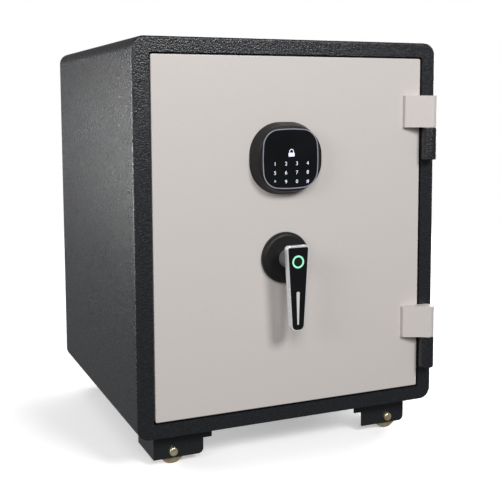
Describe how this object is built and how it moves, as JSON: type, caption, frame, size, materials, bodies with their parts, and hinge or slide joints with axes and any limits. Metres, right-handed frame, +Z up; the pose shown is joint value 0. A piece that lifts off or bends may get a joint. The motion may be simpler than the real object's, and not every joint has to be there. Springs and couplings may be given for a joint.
{
  "type": "fire-resistant safe",
  "caption": "Free-standing fire-resistant safe with an insulated cabinet, a hinged door with throwing bolts, a touch keypad, a lever handle and fixed rollers.",
  "frame": {"origin": "on the floor plane under the middle of the cabinet", "axes": "+Z up, -Y out of the door's face, +X to the right as seen from the front"},
  "size_m": [0.431, 0.461, 0.546],
  "materials": {
    "cabinet_paint": "dark charcoal textured powder coat with a fine sparkle",
    "door_paint": "warm light-grey satin paint, very fine texture",
    "inner_paint": "mid-grey satin paint",
    "insulation": "fire-resistant board, matt",
    "seal": "matt graphite fire seal",
    "bare_steel": "turned or ground steel",
    "zinc_steel": "yellow zinc plated steel",
    "brass": "plain brass",
    "chrome": "polished chrome",
    "satin_black": "satin black plastic",
    "neck_grey": "satin mid-grey",
    "gloss_black": "gloss black",
    "bezel_metal": "dark polished line",
    "touch_glass": "black touch panel",
    "ring_light": "green light ring",
    "light_bar": "white diffuser",
    "sensor": "fingerprint reader",
    "circuit_board": "green circuit board",
    "battery": "battery sleeve"
  },
  "bodies": {
    "cabinet": {"outer_shell": "cabinet_paint", "back_panel": "cabinet_paint", "door_jamb": "cabinet_paint", "strike_cups": "inner_paint", "cabinet_insulation": "insulation", "inner_liner": "inner_paint", "jamb_seal": "seal", "shelf": "inner_paint", "shelf_brackets": "inner_paint", "hinge_knuckle_upper": "cabinet_paint", "hinge_knuckle_lower": "cabinet_paint", "hinge_pins": "bare_steel", "hinge_washers": "brass", "foot_front_left": "cabinet_paint", "foot_front_right": "cabinet_paint", "foot_rear_left": "cabinet_paint", "foot_rear_right": "cabinet_paint", "axle_bolts": "zinc_steel", "axle_nuts": "zinc_steel"},
    "door": {"door_skin": "door_paint", "door_insulation": "insulation", "bolt_plate": "zinc_steel", "cover_posts": "bare_steel", "door_inner_cover": "inner_paint", "cover_screws": "bare_steel", "bolt_guides": "bare_steel", "fixed_bolts": "bare_steel", "lock_case": "satin_black", "lock_motor": "bare_steel", "hinge_leaf_upper": "door_paint", "hinge_leaf_lower": "door_paint", "rosette": "satin_black", "spindle_bush": "brass", "keypad_housing": "satin_black", "keypad_bezel": "bezel_metal", "keypad_glass": "touch_glass", "keypad_circuit_board": "circuit_board", "battery_holder": "satin_black", "batteries": "battery"},
    "handle": {"lever_frame": "chrome", "lever_inlay": "gloss_black", "sensor_ring": "ring_light", "fingerprint_sensor": "sensor", "lever_light_bar": "light_bar", "handle_neck": "neck_grey", "handle_spindle": "bare_steel", "bolt_crank": "bare_steel"},
    "boltwork": {"bolt_carrier": "zinc_steel", "live_bolts": "bare_steel", "bolt_nuts": "zinc_steel"},
    "plunger": {"lock_plunger": "bare_steel"},
    "roller_front_left_body": {"roller_front_left": "zinc_steel"},
    "roller_front_right_body": {"roller_front_right": "zinc_steel"},
    "roller_rear_left_body": {"roller_rear_left": "zinc_steel"},
    "roller_rear_right_body": {"roller_rear_right": "zinc_steel"}
  },
  "joints": [
    {"name": "door_hinge", "type": "hinge", "parent": "cabinet", "child": "door", "pos_m": [0.2005, -0.2211, 0.296], "axis": [0, 0, 1], "range_deg": [0, 170]},
    {"name": "handle_turn", "type": "hinge", "parent": "door", "child": "handle", "pos_m": [-0.014, -0.2105, 0.265], "axis": [0, 1, 0], "range_deg": [0, 90]},
    {"name": "bolt_throw", "type": "slide", "parent": "door", "child": "boltwork", "axis": [-1, 0, 0], "range_m": [0, 0.02]},
    {"name": "plunger_lift", "type": "slide", "parent": "door", "child": "plunger", "axis": [0, 0, 1], "range_m": [0, 0.008]},
    {"name": "spin_front_left", "type": "hinge", "parent": "cabinet", "child": "roller_front_left_body", "pos_m": [-0.161, -0.1685, 0.0175], "axis": [0, 1, 0], "continuous": true},
    {"name": "spin_front_right", "type": "hinge", "parent": "cabinet", "child": "roller_front_right_body", "pos_m": [0.161, -0.1685, 0.0175], "axis": [0, 1, 0], "continuous": true},
    {"name": "spin_rear_left", "type": "hinge", "parent": "cabinet", "child": "roller_rear_left_body", "pos_m": [-0.151, 0.1685, 0.0175], "axis": [0, 1, 0], "continuous": true},
    {"name": "spin_rear_right", "type": "hinge", "parent": "cabinet", "child": "roller_rear_right_body", "pos_m": [0.151, 0.1685, 0.0175], "axis": [0, 1, 0], "continuous": true}
  ],
  "couplings": [
    {"joint": "bolt_throw", "follows": "handle_turn", "m_per_rad": 0.012732}
  ]
}
